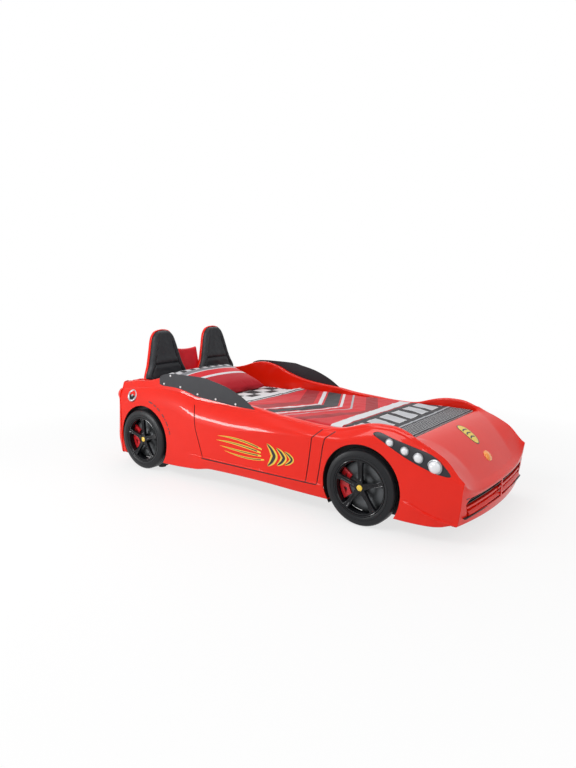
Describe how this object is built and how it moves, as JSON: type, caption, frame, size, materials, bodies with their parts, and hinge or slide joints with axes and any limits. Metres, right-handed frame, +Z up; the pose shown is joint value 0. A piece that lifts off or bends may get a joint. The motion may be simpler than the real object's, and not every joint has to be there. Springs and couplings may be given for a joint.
{
  "type": "car bed for children",
  "caption": "Single bed for a child shaped as an open two-seat sports car: red moulded shells on a slatted frame, turning wheels, padded seat backs, mattress, quilt and pillow.",
  "frame": {"origin": "on the floor in the middle of the footprint", "axes": "+X to the nose along the length, +Y to the car's left side, +Z up"},
  "size_m": [2.687, 1.09, 0.9761],
  "materials": {
    "shell_red": "gloss",
    "guard_black": "matt",
    "black_gloss": "gloss",
    "tyre_black": "satin",
    "hub_yellow": "gloss",
    "caliper_red": "satin",
    "disc_grey": "satin",
    "liner_black": "matt",
    "lamp_white": "gloss",
    "lamp_amber": "gloss",
    "cap_silver": "satin",
    "board": "melamine faced",
    "slat_wood": "planed",
    "zinc": "plated",
    "screw_white": "gloss",
    "glide_black": "matt",
    "seat_black": "soft",
    "panel_red": "satin",
    "mattress_fabric": "woven",
    "duvet_fabric": "satin cotton",
    "pillow_fabric": "satin cotton"
  },
  "bodies": {
    "bed": {"side_rail_right": "board", "side_rail_left": "board", "head_board": "board", "foot_board": "board", "frame_bolts": "zinc", "ledger_right": "slat_wood", "ledger_left": "slat_wood", "slats": "slat_wood", "center_beam": "slat_wood", "center_legs": "slat_wood", "corner_feet": "liner_black", "floor_glides": "glide_black", "side_shell_right": "shell_red", "side_shell_left": "shell_red", "front_shell": "shell_red", "tail_shell": "shell_red", "rear_deck": "shell_red", "grille_insert": "liner_black", "grille_blade": "shell_red", "hood_lamp": "lamp_amber", "seat_shell_right": "shell_red", "seat_shell_left": "shell_red", "seat_pad_right": "seat_black", "seat_pad_left": "seat_black", "centre_back_panel": "panel_red", "guard_right": "guard_black", "guard_left": "guard_black", "guard_screws": "screw_white", "headlight_housing_right": "black_gloss", "headlight_housing_left": "black_gloss", "headlight_lamps_right": "lamp_white", "headlight_lamps_left": "lamp_white", "fuel_cap_right": "cap_silver", "fuel_cap_left": "cap_silver", "wheel_wells": "liner_black", "brake_discs": "disc_grey", "brake_calipers": "caliper_red", "axles": "zinc"},
    "mattress": {"mattress": "mattress_fabric", "duvet": "duvet_fabric"},
    "pillow": {"pillow": "pillow_fabric"},
    "wheel_front_right": {"tyre_front_right": "tyre_black", "rim_front_right": "black_gloss", "hub_cap_front_right": "hub_yellow"},
    "wheel_front_left": {"tyre_front_left": "tyre_black", "rim_front_left": "black_gloss", "hub_cap_front_left": "hub_yellow"},
    "wheel_rear_right": {"tyre_rear_right": "tyre_black", "rim_rear_right": "black_gloss", "hub_cap_rear_right": "hub_yellow"},
    "wheel_rear_left": {"tyre_rear_left": "tyre_black", "rim_rear_left": "black_gloss", "hub_cap_rear_left": "hub_yellow"}
  },
  "joints": [
    {"name": "wheel_front_right_spin", "type": "hinge", "parent": "bed", "child": "wheel_front_right", "pos_m": [0.745, -0.507, 0.214], "axis": [0, 1, 0], "continuous": true},
    {"name": "wheel_front_left_spin", "type": "hinge", "parent": "bed", "child": "wheel_front_left", "pos_m": [0.745, 0.507, 0.214], "axis": [0, 1, 0], "continuous": true},
    {"name": "wheel_rear_right_spin", "type": "hinge", "parent": "bed", "child": "wheel_rear_right", "pos_m": [-1.02, -0.507, 0.214], "axis": [0, 1, 0], "continuous": true},
    {"name": "wheel_rear_left_spin", "type": "hinge", "parent": "bed", "child": "wheel_rear_left", "pos_m": [-1.02, 0.507, 0.214], "axis": [0, 1, 0], "continuous": true},
    {"name": "mattress_lift", "type": "slide", "parent": "bed", "child": "mattress", "axis": [0, 0, 1], "range_m": [0, 0.7]},
    {"name": "pillow_lift", "type": "slide", "parent": "mattress", "child": "pillow", "axis": [0, 0, 1], "range_m": [0, 0.7]}
  ]
}
